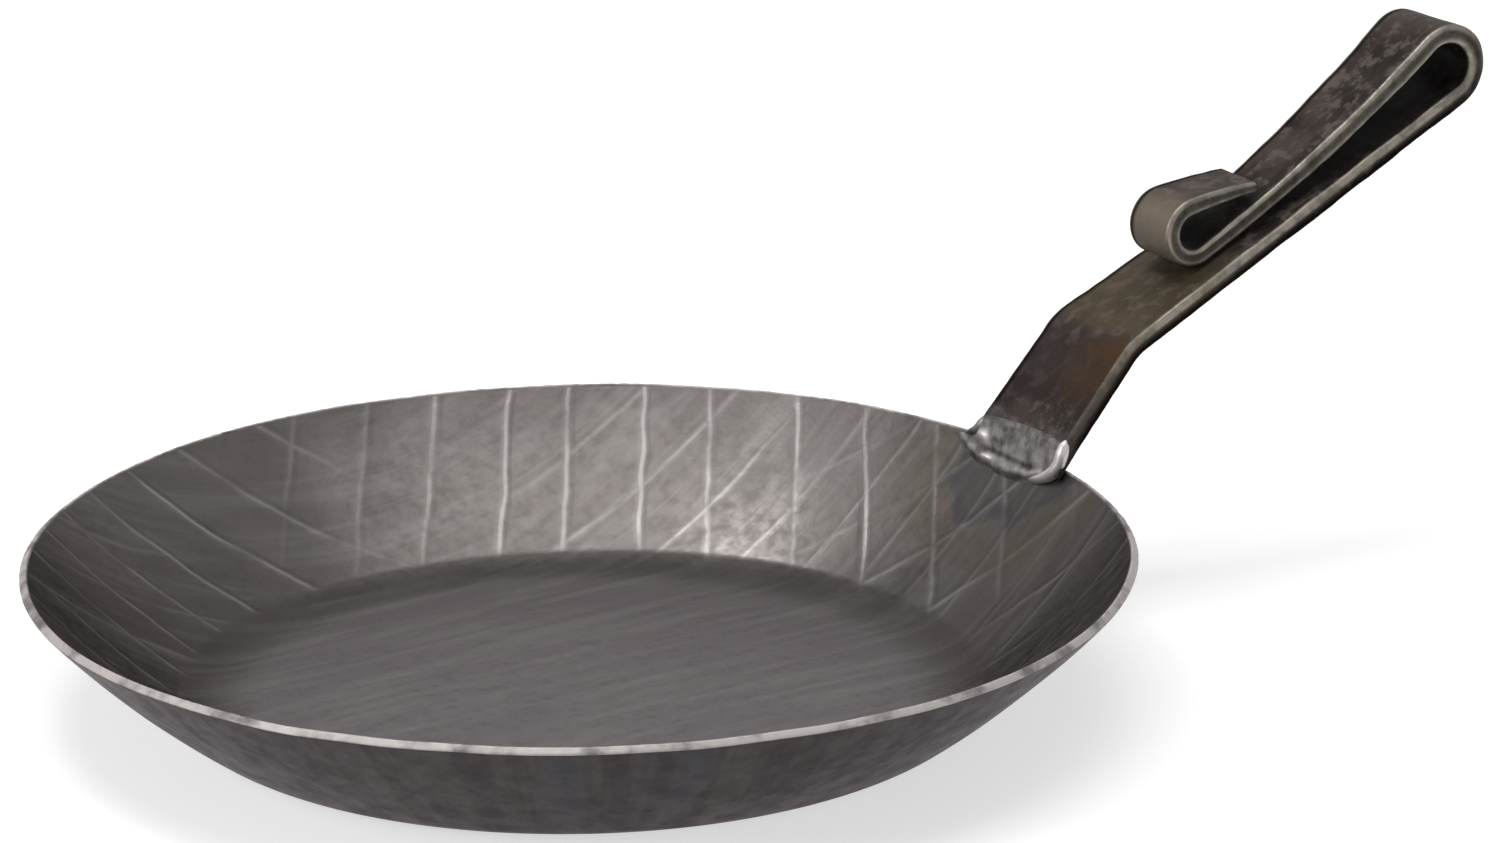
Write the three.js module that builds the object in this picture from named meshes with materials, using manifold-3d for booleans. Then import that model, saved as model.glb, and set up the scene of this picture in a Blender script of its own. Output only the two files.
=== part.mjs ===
// Serving pan in black iron: a pressed pan body and a forged flat-bar handle welded inside its rim.
// Millimetres, +Z up. The origin is the centre of the base's underside, and the handle points along +X.
import * as THREE from 'three';
import { mergeVertices } from 'three/addons/utils/BufferGeometryUtils.js';
import Module from 'manifold-3d';

const DEG = Math.PI / 180;

// Pan body
const rimDiameter = 240; // across the outer corner of the rim, before its bevel
const rimHeight = 31.3; // that corner above the table
const baseDiameter = 159; // flat underside
const sheetThickness = 2; // base, wall and rim alike
const cornerRadius = 14; // outside radius where the base turns up into the wall
const wallBowRadius = 218; // the wall swells slightly outwards between corner and rim
const rimBevel = 0.3; // on the two edges of the rim

// Handle bar, in the order that it leaves the pan
const barThickness = 4.2; // tab, neck and grip
const barBevel = 0.7; // along the bar's four edges
const tabLength = 3.5; // lap on the inner wall below the rim
const tabWidth = 30.6;
const neckLength = 27.4; // straight on from the rim, along the slope of the wall there
const neckBendRadius = 12; // middle of the bar, where the neck turns into the grip
const bendWidth = 28.8;
const gripAngle = 23.7 * DEG; // from the horizontal
const gripLength = 98.7;
const loopWidth = 21.1;
const loopRadius = 7.5; // middle of the bar
const returnLength = 71.8; // strand that comes back over the grip
const returnBowRadius = 356; // its slight sag
const scrollWidth = 15;
const scrollThickness = 3.6; // the strand is forged thinner towards the scroll
const scrollRadius = 5.9; // middle of the bar
const scrollTurn = 197.5 * DEG;
const scrollGap = 0.6; // from the scroll down to the grip
const tipBowRadius = 134;
const tipWidth = 13.6;
const tipThickness = 1.8; // the end is drawn out thin
const tipGap = 1.6; // from the tip down to the return strand

// Weld
const weldToeLeg = 3; // legs of the fillet on the wall and on the bar, across the end of the tab
const weldLeftLeg = 3; // beside the tab, where the run starts at the rim
const weldRightLeg = 1.5;
const weldClimb = 5; // how far the side runs climb the bar above the rim
const weldFade = 0.8; // leg that is left at the top of a side run
const seatGap = 0.3; // air left between pieces that touch or fuse on the real pan

// Facets
const panFacets = 96;
const cornerSteps = 6;
const wallSteps = 3;
const barStepAngle = 11 * DEG; // largest turn between two stations of the bar
const straightSteps = 3;
const weldFacets = 16;
const bisectSteps = 50;

// The pan's section, in (r, z): the wall's arc is tangent to the corner and ends at the rim
const rimRadius = rimDiameter / 2;
const baseRadius = baseDiameter / 2;
const corner = { r: baseRadius, z: cornerRadius };
const bow = arcCentre(corner, wallBowRadius - cornerRadius, { r: rimRadius, z: rimHeight }, wallBowRadius);
const wallFootAngle = Math.atan2(corner.r - bow.r, bow.z - corner.z);
const rimAngle = Math.atan2(rimRadius - bow.r, bow.z - rimHeight);
const wallUp = { r: Math.cos(rimAngle), z: Math.sin(rimAngle) }; // up the wall, at the rim
const wallIn = { r: -Math.sin(rimAngle), z: Math.cos(rimAngle) }; // square to the wall, inwards
const rimInner = {
  r: rimRadius + wallIn.r * sheetThickness,
  z: rimHeight + wallIn.z * sheetThickness,
};

// The flat tab bears at its two lower corners, on a wall that is hollow both ways
const tabHalf = tabWidth / 2;
const tabEndRadius = rimInner.r - tabLength * wallUp.r;
const wallHollow = tabEndRadius - Math.sqrt(tabEndRadius ** 2 - tabHalf ** 2);
const wallRise = tabLength ** 2 / (2 * (wallBowRadius - sheetThickness));
const tabStandoff = wallHollow * Math.sin(rimAngle) + wallRise + seatGap;

const wasm = await Module();
wasm.setup();

// Left-hand meeting point of two circles.
function arcCentre(a, radiusA, b, radiusB) {
  const dr = b.r - a.r;
  const dz = b.z - a.z;
  const apart = Math.hypot(dr, dz);
  const along = (radiusA ** 2 - radiusB ** 2 + apart ** 2) / (2 * apart);
  const across = Math.sqrt(radiusA ** 2 - along ** 2);
  return {
    r: a.r + (dr * along - dz * across) / apart,
    z: a.z + (dz * along + dr * across) / apart,
  };
}

// Points of an arc in the pan's section, where the angle is the slope of the sheet.
function slopeArc(centre, radius, from, to, steps) {
  return Array.from({ length: steps + 1 }, (_, i) => {
    const slope = from + ((to - from) * i) / steps;
    return new THREE.Vector2(centre.r + radius * Math.sin(slope), centre.z - radius * Math.cos(slope));
  });
}

// Root of a falling function between two values.
function bisect(low, high, fall) {
  for (let i = 0; i < bisectSteps; i++) {
    const middle = (low + high) / 2;
    if (fall(middle) > 0) low = middle;
    else high = middle;
  }
  return (low + high) / 2;
}

function turnedAboutZ(profile) {
  return new THREE.LatheGeometry(profile, panFacets).rotateX(Math.PI / 2);
}

// The pan: along the underside, up the outside, over the bevelled rim and down the inside.
function panBody() {
  const innerBow = wallBowRadius - sheetThickness;
  const innerCorner = cornerRadius - sheetThickness;
  const outerBevel = rimAngle - rimBevel / wallBowRadius;
  const innerBevel = rimAngle - rimBevel / innerBow;
  const edgePoint = (across) => new THREE.Vector2(
    rimRadius + wallIn.r * across,
    rimHeight + wallIn.z * across,
  );
  return turnedAboutZ([
    new THREE.Vector2(0, 0),
    ...slopeArc(corner, cornerRadius, 0, wallFootAngle, cornerSteps),
    ...slopeArc(bow, wallBowRadius, wallFootAngle, outerBevel, wallSteps).slice(1),
    edgePoint(rimBevel),
    edgePoint(sheetThickness - rimBevel),
    ...slopeArc(bow, innerBow, innerBevel, wallFootAngle, wallSteps),
    ...slopeArc(corner, innerCorner, wallFootAngle, 0, cornerSteps).slice(1),
    new THREE.Vector2(0, sheetThickness),
  ]);
}

// Adds stations to the bar's centreline along one arc, or a straight where turn is 0.
function addBend(stations, length, turn) {
  const from = stations.at(-1);
  const steps = turn === 0 ? straightSteps : Math.ceil(Math.abs(turn) / barStepAngle) + 1;
  for (let i = 1; i <= steps; i++) {
    const run = (length * i) / steps;
    const angle = (turn * i) / steps;
    const chord = turn === 0 ? run : 2 * (length / turn) * Math.sin(angle / 2);
    stations.push({
      x: from.x + chord * Math.cos(from.heading + angle / 2),
      z: from.z + chord * Math.sin(from.heading + angle / 2),
      heading: from.heading + angle,
      run: from.run + run,
    });
  }
}

// How far past a half turn the loop goes, so that the scroll ends up scrollGap above the grip.
function loopExtraTurn() {
  const sweep = returnLength / returnBowRadius;
  const gapAt = (extra) => {
    const sink = returnBowRadius * (Math.cos(extra - sweep) - Math.cos(extra));
    const strandEnd = loopRadius * (1 + Math.cos(extra)) - sink;
    const scrollCentre = strandEnd + scrollRadius * Math.cos(extra - sweep);
    return scrollCentre - scrollRadius - (barThickness + scrollThickness) / 2 - scrollGap;
  };
  return bisect(0, Math.PI / 4, gapAt);
}

// Length of the tip, which runs down until it lies about tipGap above the return strand.
function tipLength(strandEnd, scrollEnd) {
  const bowX = strandEnd.x + returnBowRadius * Math.sin(strandEnd.heading);
  const bowZ = strandEnd.z - returnBowRadius * Math.cos(strandEnd.heading);
  const clearOf = (scrollThickness + tipThickness) / 2 + tipGap;
  const gapAt = (length) => {
    const tail = [scrollEnd];
    addBend(tail, length, -length / tipBowRadius);
    const { x, z } = tail.at(-1);
    return returnBowRadius - Math.hypot(x - bowX, z - bowZ) - clearOf;
  };
  return bisect(0, returnLength / 2, gapAt);
}

// Straight-line value at a run between the marks of a list.
function between(marks, run) {
  const next = Math.max(1, marks.findIndex(([mark]) => mark >= run));
  const [runA, valueA] = marks[next - 1];
  const [runB, valueB] = marks[next];
  return valueA + ((valueB - valueA) * (run - runA)) / (runB - runA);
}

// The bar's centreline from the tab to the tip, with its width and thickness at each station.
function barStations() {
  const lift = tabStandoff + barThickness / 2;
  const stations = [{
    x: rimInner.r + wallIn.r * lift - wallUp.r * tabLength,
    z: rimInner.z + wallIn.z * lift - wallUp.z * tabLength,
    heading: rimAngle,
    run: 0,
  }];
  addBend(stations, tabLength, 0);
  const rim = stations.at(-1);
  addBend(stations, neckLength, 0);
  addBend(stations, neckBendRadius * (rimAngle - gripAngle), gripAngle - rimAngle);
  const bend = stations.at(-1);
  addBend(stations, gripLength, 0);
  const loop = stations.at(-1);
  const loopTurn = Math.PI + loopExtraTurn();
  addBend(stations, loopRadius * loopTurn, loopTurn);
  addBend(stations, returnLength, -returnLength / returnBowRadius);
  const strandEnd = stations.at(-1);
  addBend(stations, scrollRadius * scrollTurn, -scrollTurn);
  const scrollEnd = stations.at(-1);
  const tip = tipLength(strandEnd, scrollEnd);
  addBend(stations, tip, -tip / tipBowRadius);
  const end = stations.at(-1);

  const widths = [
    [0, tabWidth],
    [rim.run, tabWidth],
    [bend.run, bendWidth],
    [loop.run, loopWidth],
    [strandEnd.run, scrollWidth],
    [end.run, tipWidth],
  ];
  const thicknesses = [
    [0, barThickness],
    [loop.run, barThickness],
    [strandEnd.run, scrollThickness],
    [scrollEnd.run, scrollThickness],
    [end.run, tipThickness],
  ];
  return stations.map((station) => ({
    ...station,
    width: between(widths, station.run),
    thickness: between(thicknesses, station.run),
  }));
}

// Bar section: a rectangle with bevelled edges, u across the bar and v square to its face.
function barSection({ width, thickness }, grow, deep) {
  const u = width / 2 + grow;
  const v = thickness / 2 + grow;
  const e = Math.min(barBevel, thickness / 4);
  return [
    [-u + e, -v - deep], [u - e, -v - deep], [u, -v - deep + e], [u, v - e],
    [u - e, v], [-u + e, v], [-u, v - e], [-u, -v - deep + e],
  ];
}

// Closed skin over the sections at the stations. A tool that cuts round the bar is grown, and deep below it.
function sweptBar(stations, grow = 0, deep = 0) {
  const positions = [];
  const index = [];
  const rings = stations.map((station) => barSection(station, grow, deep));
  const sides = rings[0].length;
  stations.forEach(({ x, z, heading }, i) => {
    for (const [u, v] of rings[i]) {
      positions.push(x - Math.sin(heading) * v, u, z + Math.cos(heading) * v);
    }
  });
  for (let i = 0; i + 1 < stations.length; i++) {
    for (let j = 0; j < sides; j++) {
      const a = i * sides + j;
      const b = i * sides + ((j + 1) % sides);
      index.push(a, b, b + sides, a, b + sides, a + sides);
    }
  }
  const lastRing = (stations.length - 1) * sides;
  for (let j = 1; j + 1 < sides; j++) {
    index.push(0, j + 1, j);
    index.push(lastRing, lastRing + j, lastRing + j + 1);
  }
  const geometry = new THREE.BufferGeometry();
  geometry.setAttribute('position', new THREE.Float32BufferAttribute(positions, 3));
  geometry.setIndex(index);
  return geometry;
}

// Place on the slope of the wall at the rim: up from the rim, and across from the handle's plane.
function atRim(up, across, lift) {
  return new THREE.Vector3(
    rimInner.r + wallIn.r * lift + wallUp.r * up,
    across,
    rimInner.z + wallIn.z * lift + wallUp.z * up,
  );
}

// All that lies outside the inner wall, seatGap clear of it and carried on past the rim.
function wallTool() {
  const face = slopeArc(bow, wallBowRadius - sheetThickness - seatGap, wallFootAngle, rimAngle, wallSteps);
  const past = atRim(2 * weldClimb, 0, seatGap);
  const foot = face[0];
  const profile = [
    foot,
    new THREE.Vector2(past.x, foot.y),
    new THREE.Vector2(past.x, past.z),
    ...face.reverse(),
  ];
  return turnedAboutZ(profile);
}

function solidOf(geometry) {
  const bare = geometry.clone();
  bare.deleteAttribute('normal');
  bare.deleteAttribute('uv');
  const merged = mergeVertices(bare);
  const vertProperties = Float32Array.from(merged.attributes.position.array);
  const triVerts = Uint32Array.from(merged.index.array);
  return new wasm.Manifold(new wasm.Mesh({ numProp: 3, vertProperties, triVerts }));
}

function geometryOf(solid) {
  const mesh = solid.getMesh();
  const geometry = new THREE.BufferGeometry();
  geometry.setAttribute('position', new THREE.Float32BufferAttribute(mesh.vertProperties, 3));
  geometry.setIndex(Array.from(mesh.triVerts));
  return geometry;
}

// One run of weld: a round bead from one place to another, cut back from the wall and from the bar.
function weldRun(from, fromLeg, to, toLeg) {
  const length = from.distanceTo(to);
  const along = to.clone().sub(from).normalize();
  const turn = new THREE.Quaternion().setFromUnitVectors(new THREE.Vector3(0, 1, 0), along);
  const middle = from.clone().add(to).multiplyScalar(0.5);
  const bead = new THREE.CylinderGeometry(toLeg, fromLeg, length, weldFacets, straightSteps);
  bead.applyQuaternion(turn);
  bead.translate(middle.x, middle.y, middle.z);
  return geometryOf(solidOf(bead).subtract(solidOf(wallTool())).subtract(solidOf(barTool)));
}

// The toe run crosses the end of the tab, and goes on past its left corner.
function weldToeRun() {
  const lift = tabStandoff - seatGap;
  const rightEnd = atRim(-tabLength, -tabHalf, lift);
  const leftEnd = atRim(-tabLength, tabHalf + weldToeLeg, lift);
  return weldRun(rightEnd, weldToeLeg, leftEnd, weldToeLeg);
}

// A side run starts just above the toe run, and fades as it climbs the bar's edge past the rim.
function weldSideRun(across, leg) {
  const lift = tabStandoff - seatGap;
  const start = weldToeLeg + seatGap - tabLength;
  return weldRun(atRim(start, across, lift), leg, atRim(weldClimb, across, lift), weldFade);
}

function piece(name, geometry, material) {
  const mesh = new THREE.Mesh(geometry, material);
  mesh.name = name;
  return mesh;
}

const panIron = new THREE.MeshStandardMaterial({ color: 0x55504d, roughness: 0.55, metalness: 0.8 });
const barIron = new THREE.MeshStandardMaterial({ color: 0x3d3734, roughness: 0.5, metalness: 0.8 });
const weldIron = new THREE.MeshStandardMaterial({ color: 0x8b8682, roughness: 0.4, metalness: 0.9 });

// The tool that keeps the weld off the bar starts seatGap below the end of the tab.
function weldCutter(tabEnd, upwards) {
  const start = {
    ...tabEnd,
    x: tabEnd.x - wallUp.r * seatGap,
    z: tabEnd.z - wallUp.z * seatGap,
  };
  return sweptBar([start, ...upwards], seatGap, weldToeLeg);
}

const stations = barStations();
const barTool = weldCutter(stations[0], stations.slice(1, 2 * straightSteps));

const servingPan = new THREE.Group();
servingPan.add(
  piece('pan_body', panBody(), panIron),
  piece('handle_bar', sweptBar(stations), barIron),
  piece('weld_toe_run', weldToeRun(), weldIron),
  piece('weld_left_run', weldSideRun(tabHalf, weldLeftLeg), weldIron),
  piece('weld_right_run', weldSideRun(-tabHalf, weldRightLeg), weldIron),
);

export default servingPan;
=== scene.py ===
"""Serving pan in black iron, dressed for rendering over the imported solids.

Lengths are written in millimetres and go into the meshes in metres. +X runs out along the handle,
+Z is up, and the origin is the centre of the base's underside.
"""

import math

import bpy
import numpy as np
from mathutils import Matrix, Vector


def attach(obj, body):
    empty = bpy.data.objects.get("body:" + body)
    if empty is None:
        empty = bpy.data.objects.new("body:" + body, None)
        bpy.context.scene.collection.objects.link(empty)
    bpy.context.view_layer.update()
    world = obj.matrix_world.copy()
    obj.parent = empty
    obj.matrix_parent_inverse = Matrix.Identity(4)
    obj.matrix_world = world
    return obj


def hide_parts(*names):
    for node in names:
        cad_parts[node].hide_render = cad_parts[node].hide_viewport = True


MM = 0.001
NO_TRIANGLES = np.zeros((0, 3), dtype=int)

# Pan
RIM_RADIUS = 120.0
RIM_HEIGHT = 31.3
BASE_RADIUS = 79.5
SHEET = 2.0
CORNER_RADIUS = 14.0
CREASE = math.radians(12.0)
BOW_RADIUS = 218.0
RIM_ROUND = 0.5
RIM_SEAM = 0.8
SEAM_BARE = 0.4
PAN_COLUMNS = 1000
INNER_RING = 3.0
UNDER_RING = 4.0

# Unevenness of the sheet: heights, wavelengths, and the radii over which each comes or goes
WAVE_HEIGHT = 0.16
WAVE_LENGTH = 85.0
RIPPLE_HEIGHT = 0.05
RIPPLE_LENGTH = 26.0
WAVE_START = (84.0, 105.0)
FLOOR_WAVE_HEIGHT = 0.03
FLOOR_WAVE_LENGTH = 40.0
FLOOR_WAVE_STOP = (70.0, 80.0)
RELIEF_HEIGHT = 0.06
RELIEF_WIDTH = 0.75
RELIEF_FADE_LENGTH = 38.0
RELIEF_START = (87.0, 90.0)
RELIEF_STOP = (115.5, 117.2)
NICK_DEPTH = 0.10
NICK_LENGTH = 9.0
CUT_GRAIN_DEPTH = 0.03
CUT_GRAIN_LENGTH = 2.6

# Handle bar
BAR_THICK = 4.2
SCROLL_THICK = 3.6
TIP_THICK = 2.5
TAB_LENGTH = 3.5
TAB_LIFT = 1.07
TAB_WIDTH = 30.6
GRIND_SLOPE = 0.42
NECK_LENGTH = 27.4
NECK_BEND_RADIUS = 12.0
BEND_WIDTH = 28.8
GRIP_ANGLE = math.radians(23.7)
GRIP_LENGTH = 98.7
LOOP_WIDTH = 21.1
LOOP_RADIUS = 7.5
LOOP_TURN = math.radians(194.02)
LOOP_TWIST = math.radians(1.6)
STRAND_LENGTH = 71.8
STRAND_BOW_RADIUS = 356.0
SCROLL_WIDTH = 15.0
SCROLL_RADIUS = 5.9
SCROLL_TURN = math.radians(197.5)
TIP_LENGTH = 18.4
TIP_BOW_RADIUS = 134.0
TIP_WIDTH = 13.6
TIP_ROUND = 0.7
BAR_STATIONS = 900
BEND_BLUR = 1.2
WIDTH_DRIFT = 0.09
WIDTH_DRIFT_LENGTH = 34.0
THICK_DRIFT = 0.04
THICK_DRIFT_LENGTH = 24.0
HAMMER_HEIGHT = 0.06
HAMMER_LENGTH = 18.0
PEEN_HEIGHT = 0.02
PEEN_LENGTH = 6.0
DENT_HEIGHT = 0.012
DENT_LENGTH = 5.0

# Weld, with places across the bar and up the wall from the rim
WELD_NEAR = -14.6
WELD_FAR = 24.5
WELD_COVER = 0.25
TOE_STEP = 1.2
TOE_SINK = 0.3
LIP_FROM_TOE = 1.7
LIP_WIDTH = 0.7
GROOVE_UP = -4.0
GROOVE_WIDTH = 0.6
EDGE_BLOB = (13.6, -1.8)
EDGE_BLOB_SIZE = (1.7, 1.2)
TOE_BLOB = (10.0, -5.6)
TOE_BLOB_SIZE = (2.0, 0.9)
TOE_BLOB_LEAN = 0.25
BEAD_STATIONS = 121
BEAD_SIDES = 40

# Lines scored into the blank, straight in plan. Each family has the direction of its offsets, the fan
# of its lines, the offsets, and how strongly it shows at azimuths round the wall.
SCORE_PITCH = 15.8
SCORE_FAMILIES = {
    "score_along": (
        math.radians(90.0),
        math.radians(6.0),
        (-100.0, -84.0, -69.0, -52.5, -37.0, -20.5, -4.9, 12.2, 29.3, 45.0, 61.5, 75.6, 90.0),
        ((0, 0.4), (30, 0.55), (70, 0.5), (100, 0.4), (140, 0.3), (200, 0.5), (270, 0.3), (330, 0.3)),
    ),
    "score_across": (
        math.radians(-37.0),
        0.0,
        (-102.0, -86.0, -71.0, -55.0, -40.7, -23.9, -10.7, 6.6, 21.6, 41.4, 57.0, 73.0, 88.5),
        ((0, 1.0), (70, 1.0), (92, 0.3), (105, 0.0), (150, 0.0), (200, 0.7), (260, 0.7), (320, 0.5)),
    ),
    "score_back": (
        math.radians(56.0),
        math.radians(-7.0),
        (-80.0, -64.0, -49.0, -33.0, -17.5, -2.0, 14.0, 29.8, 45.4, 61.5, 76.4, 92.1),
        (
            (0, 0.8), (22, 0.3), (36, 0.0), (78, 0.0), (95, 0.7),
            (130, 1.0), (190, 0.6), (235, 0.1), (300, 0.5),
        ),
    ),
}

# Camera, as fitted to the photograph
VIEW_TURN = math.radians(33.61)
VIEW_TILT = 0.320195
VIEW_ROLL = 0.0134395
VIEW_RIGHT = 36.921
VIEW_UP = 59.201
VIEW_DISTANCE = 2150.081
LENS = 240.0
SENSOR = 36.0


# Shapes

def ripples(a, b, wavelength, seed, waves=9):
    """Smooth seeded unevenness of about unit height: a sum of plane waves over (a, b), each with
    its own direction, phase and length round the wavelength."""
    rng = np.random.default_rng(seed)
    turn = rng.uniform(0, 2 * np.pi, waves)
    phase = rng.uniform(0, 2 * np.pi, waves)
    pitch = 2 * np.pi / (wavelength * rng.uniform(0.7, 1.5, waves))
    a, b = np.broadcast_arrays(a, b)
    angle = pitch * (np.cos(turn) * a[..., None] + np.sin(turn) * b[..., None]) + phase
    return np.sin(angle).sum(-1) * math.sqrt(2 / waves)


def ramp(x, low, high):
    """0 below low, 1 above high, and the cubic 3t^2 - 2t^3 between them."""
    t = np.clip((x - low) / (high - low), 0, 1)
    return t * t * (3 - 2 * t)


def blurred(values, samples):
    """Values along their first axis, averaged under a raised cosine of that many samples, ends held."""
    window = np.hanning(samples + 2)[1:-1]
    window = window / window.sum()
    padded = np.pad(values, (samples // 2, samples - 1 - samples // 2), mode="edge")
    return np.convolve(padded, window, mode="valid")


def summed(values, step):
    """Running trapezoid sum along an array, from 0."""
    return np.concatenate([[0.0], np.cumsum((values[1:] + values[:-1]) * step / 2)])


def bow_centre():
    """Centre (r, z) of the wall's arc: where the circle of BOW_RADIUS about the rim's outer corner
    meets the circle of BOW_RADIUS - CORNER_RADIUS about the centre of the base's corner."""
    corner = np.array([BASE_RADIUS, CORNER_RADIUS])
    rim = np.array([RIM_RADIUS, RIM_HEIGHT])
    reach = BOW_RADIUS - CORNER_RADIUS
    apart = math.dist(corner, rim)
    along = (reach**2 - BOW_RADIUS**2 + apart**2) / (2 * apart)
    across = math.sqrt(reach**2 - along**2)
    ahead = (rim - corner) / apart
    return corner + ahead * along + np.array([-ahead[1], ahead[0]]) * across


BOW = bow_centre()
FOOT_SLOPE = math.atan2(BASE_RADIUS - BOW[0], BOW[1] - CORNER_RADIUS)
RIM_SLOPE = math.atan2(RIM_RADIUS - BOW[0], BOW[1] - RIM_HEIGHT)
WALL_UP = np.array([math.cos(RIM_SLOPE), 0.0, math.sin(RIM_SLOPE)])
WALL_IN = np.array([-math.sin(RIM_SLOPE), 0.0, math.cos(RIM_SLOPE)])
RIM_OUTER = np.array([RIM_RADIUS, 0.0, RIM_HEIGHT])
RIM_INNER = RIM_OUTER + WALL_IN * SHEET


def sheet_section(inset, flat_radii, corner_steps, wall_steps):
    """One face of the sheet as rows of (r, z, slope): the flat, the corner's arc and the wall's arc up
    to RIM_SEAM below the rim. The face lies inset inside the outer face."""
    corner_slope = np.linspace(0, FOOT_SLOPE, corner_steps + 1)[1:]
    end_slope = RIM_SLOPE - RIM_SEAM / (BOW_RADIUS - inset)
    wall_slope = np.linspace(FOOT_SLOPE, end_slope, wall_steps + 1)[1:]
    corner = CORNER_RADIUS - inset
    wall = BOW_RADIUS - inset
    flat = np.zeros(len(flat_radii))
    r = np.concatenate([
        flat_radii,
        BASE_RADIUS + corner * np.sin(corner_slope),
        BOW[0] + wall * np.sin(wall_slope),
    ])
    z = np.concatenate([
        flat + inset,
        CORNER_RADIUS - corner * np.cos(corner_slope),
        BOW[1] - wall * np.cos(wall_slope),
    ])
    return np.stack([r, z, np.concatenate([flat, corner_slope, wall_slope])], -1)


def inside_section(flat_steps=14, corner_steps=10, wall_steps=66):
    """The inner face as rows of (r, z, slope): the flat floor, a wide arc that meets the foot of the
    wall at a crease of CREASE, and the wall's arc. The arc's radius follows from its rise and slope."""
    wall = sheet_section(SHEET, np.zeros(0), 1, wall_steps)
    foot_r, foot_z, foot_slope = wall[0]
    turn = foot_slope - CREASE
    radius = (foot_z - SHEET) / (1 - math.cos(turn))
    centre = foot_r - radius * math.sin(turn)
    slope = np.linspace(0, turn, corner_steps + 1)[:-1]
    corner = np.stack([centre + radius * np.sin(slope), SHEET + radius * (1 - np.cos(slope)), slope], -1)
    flat_r = np.linspace(INNER_RING, centre, flat_steps)[:-1]
    flat = np.stack([flat_r, np.full_like(flat_r, SHEET), np.zeros_like(flat_r)], -1)
    return np.vstack([flat, corner, wall])


def rim_section(steps=5):
    """Over the rim, from RIM_SEAM below it outside to RIM_SEAM below it inside: two quarter rounds of
    RIM_ROUND with the cut face of the sheet between them, as rows of (r, z, slope, how bare)."""
    turn = np.linspace(0, np.pi / 2, steps + 1)
    rise, bulge = np.sin(turn), np.cos(turn)
    up = np.concatenate([RIM_ROUND * (rise - 1), [0.0, 0.0], RIM_ROUND * (rise[::-1] - 1)])
    across = np.concatenate([
        RIM_ROUND * (1 - bulge),
        [SHEET * 0.4, SHEET * 0.6],
        SHEET - RIM_ROUND * (1 - bulge[::-1]),
    ])
    bare = np.concatenate([rise, [1.0, 1.0], 0.5 + 0.5 * rise[::-1]])
    r = RIM_OUTER[0] + WALL_UP[0] * up + WALL_IN[0] * across
    z = RIM_OUTER[2] + WALL_UP[2] * up + WALL_IN[2] * across
    return np.stack([r, z, np.full_like(r, RIM_SLOPE), bare], -1)


def sheet_wave(x, y, radius):
    """How far the pressed sheet stands in from its true shape: long seeded ripples that die out
    towards the flat."""
    wave = WAVE_HEIGHT * ripples(x, y, WAVE_LENGTH, 3) + RIPPLE_HEIGHT * ripples(x, y, RIPPLE_LENGTH, 4)
    return wave * ramp(radius, *WAVE_START)


def score_phase(family, x, y):
    """Counts the scored lines of a family over the plan: a whole number on each line, and even steps
    between neighbours. The lines lean by the fan's angle on the handle's near side."""
    heading, fan, offsets = SCORE_FAMILIES[family][:3]
    across = x * math.cos(heading) + y * math.sin(heading)
    along = x * math.sin(heading) - y * math.cos(heading)
    tilt = fan * (1 - ramp(across, -10.0, 70.0))
    stops = [offsets[0] - 4 * SCORE_PITCH, *offsets, offsets[-1] + 4 * SCORE_PITCH]
    counts = [-4, *range(len(offsets)), len(offsets) + 3]
    return np.interp(across - along * np.tan(tilt), stops, counts)


def score_show(family, x, y):
    """How strongly a family shows at each place: by its azimuth round the pan, and not where its lines
    run along the wall instead of up it."""
    heading = SCORE_FAMILIES[family][0]
    azimuths, strengths = np.array(SCORE_FAMILIES[family][3]).T
    azimuth = np.arctan2(y, x)
    upright = ramp(np.abs(np.sin(azimuth - heading)), 0.3, 0.6)
    return upright * np.interp(np.degrees(azimuth) % 360, azimuths, strengths, period=360)


def score_relief(x, y, radius):
    """Height of the scored lines on the inner wall: a low round ridge on each, which fades out and
    comes back along its length."""
    relief = np.zeros_like(x)
    for seed, family in enumerate(SCORE_FAMILIES):
        phase = score_phase(family, x, y)
        off = np.abs(phase - np.round(phase)) * SCORE_PITCH
        fade = np.clip(0.55 + 0.55 * ripples(x, y, RELIEF_FADE_LENGTH, 40 + seed), 0, 1.2)
        strength = fade * score_show(family, x, y)
        relief = np.maximum(relief, strength * np.exp(-((off / RELIEF_WIDTH) ** 2)))
    return RELIEF_HEIGHT * relief * ramp(radius, *RELIEF_START) * (1 - ramp(radius, *RELIEF_STOP))


def turned(rows):
    """Rows of (r, z, slope) carried round the pan's axis: the points, their radius, and the direction
    square to the sheet, inwards."""
    angle = np.linspace(0, 2 * np.pi, PAN_COLUMNS, endpoint=False)
    r, z, slope = (column[:, None] for column in rows.T[:3])
    x, y = r * np.cos(angle), r * np.sin(angle)
    points = np.stack(np.broadcast_arrays(x, y, z), -1)
    lean = -np.sin(slope)
    inward = np.stack(np.broadcast_arrays(lean * np.cos(angle), lean * np.sin(angle), np.cos(slope)), -1)
    return points, np.broadcast_to(r, x.shape), inward


def grid_quads(rows, columns, closed):
    """Corner numbers of the quads of a grid, rows first, whose columns close on themselves if asked."""
    i = np.arange(rows - 1)[:, None]
    j = np.arange(columns if closed else columns - 1)[None, :]
    k = (j + 1) % columns
    row, above = i * columns, (i + 1) * columns
    return np.stack([row + j, row + k, above + k, above + j], -1).reshape(-1, 4)


def fan_triangles(centre, ring):
    """Corner numbers of the triangles between a centre point and a closed ring of points."""
    return np.stack([np.full(len(ring), centre), ring, np.roll(ring, -1)], -1)


def end_caps(rows, columns):
    """Triangles that close both ends of a tube of rows by columns, to two points that follow its own."""
    ring = np.arange(columns)
    end = rows * columns
    return np.vstack([fan_triangles(end, ring[::-1]), fan_triangles(end + 1, end - columns + ring)])


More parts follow.
